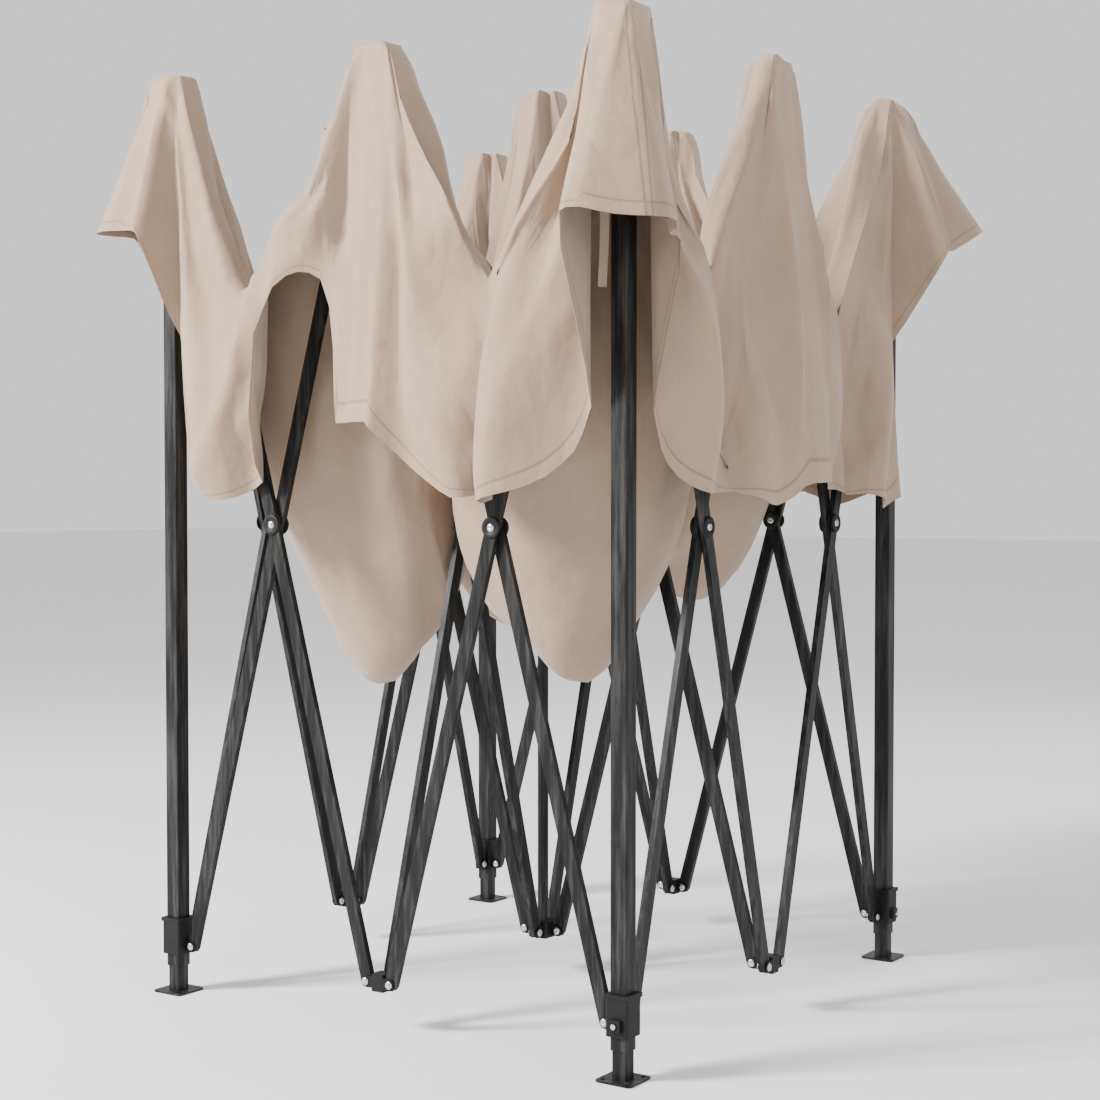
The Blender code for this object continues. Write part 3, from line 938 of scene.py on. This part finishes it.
def sewing_distances(places, cloth):
    """Each vertex's distance from the hem, and from the seams at the roof's edge and the corners."""
    made = []
    for (x, y, _), (cx, cy, share) in zip(places, cloth):
        at_corner = abs(cx) > AT_EDGE and abs(cy) > AT_EDGE
        hem = 1.0
        seam = 1.0
        if share > 0:
            column = CORNER_COLUMN if at_corner else SIDE_COLUMN
            hem = (1.0 - share) * column
            seam = share * column
        if at_corner:
            seam = min(seam, abs(abs(x) - abs(y)) * 0.7071)  # off the plan's diagonal
        made.append((hem, seam))
    return made


def vertex_normals(places, faces):
    """Normals of the whole cover, so that its pieces shade as one where they meet."""
    normals = np.zeros_like(places)
    for face in faces:
        a, b, c = places[face[0]], places[face[1]], places[face[-1]]
        normal = np.cross(b - a, c - a)
        for k in face:
            normals[k] += normal
    length = np.linalg.norm(normals, axis=1, keepdims=True)
    return normals / np.maximum(length, 1e-12)


def add_cover_piece(zone, faces, places, normals, sewn):
    """One piece of the cover: two skins a cloth's thickness apart, joined round the cut edge."""
    used = sorted({k for face in faces for k in face})
    index = {k: n for n, k in enumerate(used)}
    upper = [tuple(places[k]) for k in used]
    lower = [tuple(places[k] - normals[k] * CLOTH_THICK) for k in used]
    shift = len(used)
    skin = [tuple(index[k] for k in face) for face in faces]
    back = [tuple(shift + k for k in reversed(face)) for face in skin]
    edges = {}  # not a set, so the rim's faces keep their order
    for face in skin:
        for a, b in zip(face, face[1:] + face[:1]):
            edges[(a, b)] = True
    rim = [(b, a, shift + a, shift + b) for a, b in edges if (b, a) not in edges]
    if zone[0] == "cap":
        _, px, py = zone
        body = body_of_post(px, py)
        name = f"cover_cap_{body}"
    else:
        name = f"cover_sheet_{zone[1]}"
    piece = new_piece(name, upper + lower, skin + back + rim, FABRIC)
    facing = [tuple(normals[k]) for k in used] + [tuple(-normals[k]) for k in used]
    piece.data.normals_split_custom_set_from_vertices(facing)
    for column, attribute_name in enumerate(("hem_distance", "seam_distance")):
        attribute = piece.data.attributes.new(attribute_name, "FLOAT", "POINT")
        attribute.data.foreach_set("value", [float(sewn[k][column]) for k in used] * 2)
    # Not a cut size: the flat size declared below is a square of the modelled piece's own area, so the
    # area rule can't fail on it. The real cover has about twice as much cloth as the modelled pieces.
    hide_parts("canopy_cover")
    if zone[0] == "cap":
        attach(piece, body)
        return
    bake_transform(piece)


# ---------------------------------------------------------------- bolts and bosses
def turned(name, profile, steps, place, axis, material):
    """A turned piece along axis, from (distance along, radius) pairs, closed at both ends."""
    axis = Vector(axis).normalized()
    across = axis.orthogonal().normalized()
    third = axis.cross(across)
    vertices, faces = [], []
    for along, radius in profile:
        for k in range(steps):
            angle = 2 * math.pi * k / steps
            spoke = across * math.cos(angle) + third * math.sin(angle)
            vertices.append(tuple(Vector(place) + axis * along + spoke * radius))
    rings = len(profile)
    for ring in range(rings - 1):
        for k in range(steps):
            after = (k + 1) % steps
            a, b = ring * steps + k, ring * steps + after
            faces.append((a, b, b + steps, a + steps))
    faces.append(tuple(reversed(range(steps))))
    faces.append(tuple(range((rings - 1) * steps, rings * steps)))
    return new_piece(name, vertices, faces, material)


# Distance along the axis and radius, from the face outwards.
HEAD_PROFILE = (
    (0.0001, 0.0063), (0.0010, 0.0066), (0.0018, 0.0064), (0.0028, 0.0056), (0.0034, 0.0040),
    (0.0037, 0.0018), (0.0032, 0.0014),
)
HEAD_SIDES = 20
BOSS_PROFILE = (
    (0.0001, 0.0158), (0.0006, 0.0164), (0.0022, 0.0164), (0.0028, 0.0158), (0.0030, 0.0105),
    (0.0026, 0.0100),
)
BOSS_SIDES = 28
HEAD_ON_BOSS = 0.0010


def bolt_heads(name, place, axis, face, body, boss=False):
    """The two plated heads of one bolt, over the CAD bolt's ends, with a washer boss if asked."""
    for sign, tag in ((1, "a"), (-1, "b")):
        direction = Vector(axis) * sign
        spot = Vector(place) + direction * face
        if boss:
            made = turned(
                f"boss_{name}_{tag}", BOSS_PROFILE, BOSS_SIDES, spot, direction, MOULDED,
            )
            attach(made, body)
            spot = spot + direction * HEAD_ON_BOSS
        made = turned(f"bolt_{name}_{tag}", HEAD_PROFILE, HEAD_SIDES, spot, direction, STEEL)
        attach(made, body)


def add_bolts():
    """A bolt at each crossing and at each truss's four ends, on the bodies that carry them."""
    for truss, (start, end, out, start_pin, end_pin) in TRUSSES.items():
        run = Vector((end[0] - start[0], end[1] - start[1], 0)).normalized()
        side = Vector((*out, 0))
        axis = Vector((-run.y, run.x, 0))
        first = Vector((*start, 0)) + run * start_pin
        last = Vector((*end, 0)) - run * end_pin
        middle = (first + last) / 2 + Vector((0, 0, CROSSING))
        bolt_heads(f"{truss}_crossing", middle, axis, BAR_FACE, f"{truss}_falling_bar", boss=True)
        side_name, end_name = truss.split("_")
        if end_name == "inner":
            bodies = (
                f"top_connector_{side_name}", f"bottom_connector_{side_name}", "upper_hub", "lower_hub",
            )
        else:
            corner = corner_of(side_name, end_name)
            bodies = (
                f"leg_{corner}", f"slider_{corner}", f"top_connector_{side_name}",
                f"bottom_connector_{side_name}",
            )
        spots = (
            ("start_top", first, HIGH_PIN, 1), ("start_low", first, LOW_PIN, -1),
            ("end_top", last, HIGH_PIN, -1), ("end_low", last, LOW_PIN, 1),
        )
        for body, (tag, foot, height, layer) in zip(bodies, spots):
            place = foot + side * (LAYER * layer) + Vector((0, 0, height))
            bolt_heads(f"{truss}_{tag}", place, axis, EAR_FACE, body)


def add_strap():
    """The loose tie strap that hangs beside the front right leg, below its hood."""
    width, thick = 0.013, 0.0016
    top, length, steps = 1.340, 0.185, 18
    centre = Vector((HALF - 0.024, -HALF - LEG_HALF - 0.006, 0.0))
    across = Vector((math.cos(0.6), math.sin(0.6), 0.0))
    outward = Vector((across.y, -across.x, 0.0))
    vertices, faces = [], []
    for step in range(steps + 1):
        share = step / steps
        sway = 0.004 * math.sin(5.0 * share) - 0.003 * share
        middle = centre + outward * sway + Vector((0, 0, top - length * share))
        middle += across * 0.003 * math.sin(3.2 * share)
        for u, v in ((-1, -1), (1, -1), (1, 1), (-1, 1)):
            vertices.append(tuple(middle + across * (u * width / 2) + outward * (v * thick / 2)))
    for step in range(steps):
        for k in range(4):
            a, b = 4 * step + k, 4 * step + (k + 1) % 4
            faces.append((a, b, b + 4, a + 4))
    faces.append((3, 2, 1, 0))
    faces.append(tuple(4 * steps + k for k in range(4)))
    strap = new_piece("tie_strap_front_right", vertices, faces, WEBBING, False)
    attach(strap, "leg_front_right")


# ---------------------------------------------------------------- stage, light and camera
CAMERA_TURN = 34.25
CAMERA_PITCH = 1.75  # down
CAMERA_PLACE = (1.9375, -2.8235, 0.8602)
CAMERA_LENS = 63.2
SENSOR_WIDTH = 36.0
WORLD_STRENGTH = 1.05


def build_stage():
    """A pale floor under the feet and an even white world."""
    bpy.ops.mesh.primitive_plane_add(size=60.0, location=(0, 0, -0.0005))
    floor = bpy.context.object
    floor.name = "floor"
    floor.data.materials.append(floor_material())
    world = bpy.data.worlds.new("studio")
    bpy.context.scene.world = world
    world.use_nodes = True
    background = world.node_tree.nodes["Background"]
    background.inputs["Color"].default_value = (1.0, 1.0, 1.0, 1.0)
    background.inputs["Strength"].default_value = WORLD_STRENGTH


def area_light(name, place, target, size, power):
    """A round soft light at place, aimed at target."""
    light = bpy.data.lights.new(name, "AREA")
    light.shape = "DISK"
    light.size = size
    light.energy = power
    made = bpy.data.objects.new(name, light)
    made.location = place
    made.rotation_mode = "QUATERNION"
    made.rotation_quaternion = (Vector(target) - Vector(place)).to_track_quat("-Z", "Y")
    bpy.context.scene.collection.objects.link(made)


def build_camera():
    """At the photograph's viewing angle: from the front right corner, level with the crossings."""
    data = bpy.data.cameras.new("camera")
    data.lens = CAMERA_LENS
    data.sensor_width = SENSOR_WIDTH
    camera = bpy.data.objects.new("camera", data)
    camera.location = CAMERA_PLACE
    camera.rotation_euler = (math.radians(90.0 - CAMERA_PITCH), 0.0, math.radians(CAMERA_TURN))
    bpy.context.scene.collection.objects.link(camera)
    bpy.context.scene.camera = camera


build_camera()
build_stage()
area_light("key", (-2.4, -3.6, 3.2), (0, 0, 1.0), 1.1, 640.0)
area_light("fill", (4.2, -1.5, 2.4), (0, 0, 0.8), 3.0, 60.0)
area_light("rim", (0.5, 4.0, 3.4), (0, 0, 1.0), 2.5, 60.0)
dress_cad_nodes()
build_cover()
add_bolts()
add_strap()
